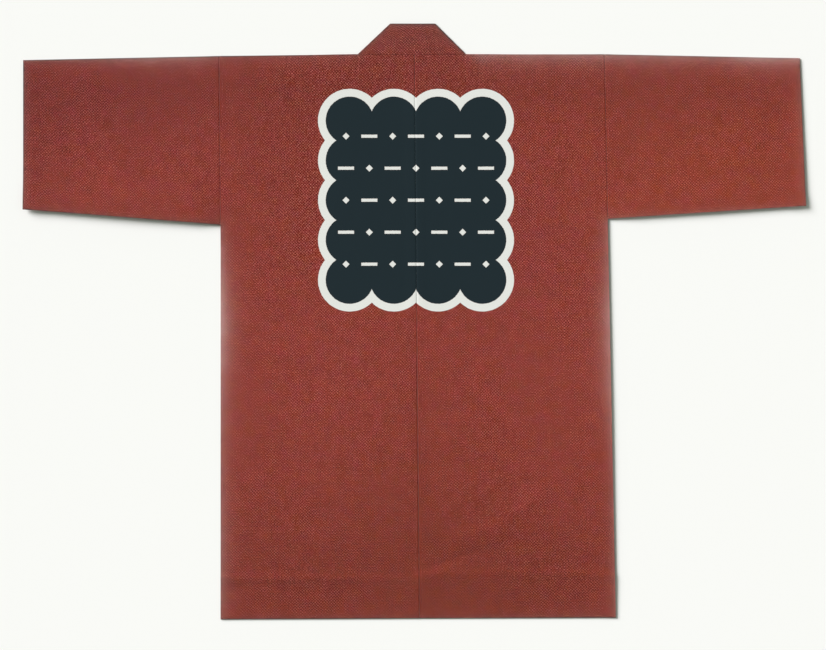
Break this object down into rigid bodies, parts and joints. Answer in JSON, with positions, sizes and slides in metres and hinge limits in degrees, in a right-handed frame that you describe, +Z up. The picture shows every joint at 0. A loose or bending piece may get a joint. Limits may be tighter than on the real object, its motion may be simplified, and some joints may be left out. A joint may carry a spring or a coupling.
{
  "type": "happi coat",
  "caption": "Red cotton happi coat laid flat with its back up: straight sleeves, centre back seam, doubled collar band folded at the neck and a framed lattice print on the back.",
  "frame": {"origin": "on the surface that the coat lies on, under the middle of its box", "axes": "+X across the back to the sleeve on the viewer's right, +Y up the back to the collar, +Z up from the surface, towards the viewer of the back"},
  "size_m": [1.1746, 0.8937, 0.0076],
  "materials": {
    "red_cotton": "matte plain weave"
  },
  "bodies": {
    "root": {"body_left": "red_cotton", "body_right": "red_cotton", "sleeve_left": "red_cotton", "sleeve_right": "red_cotton", "collar": "red_cotton"}
  },
  "joints": []
}
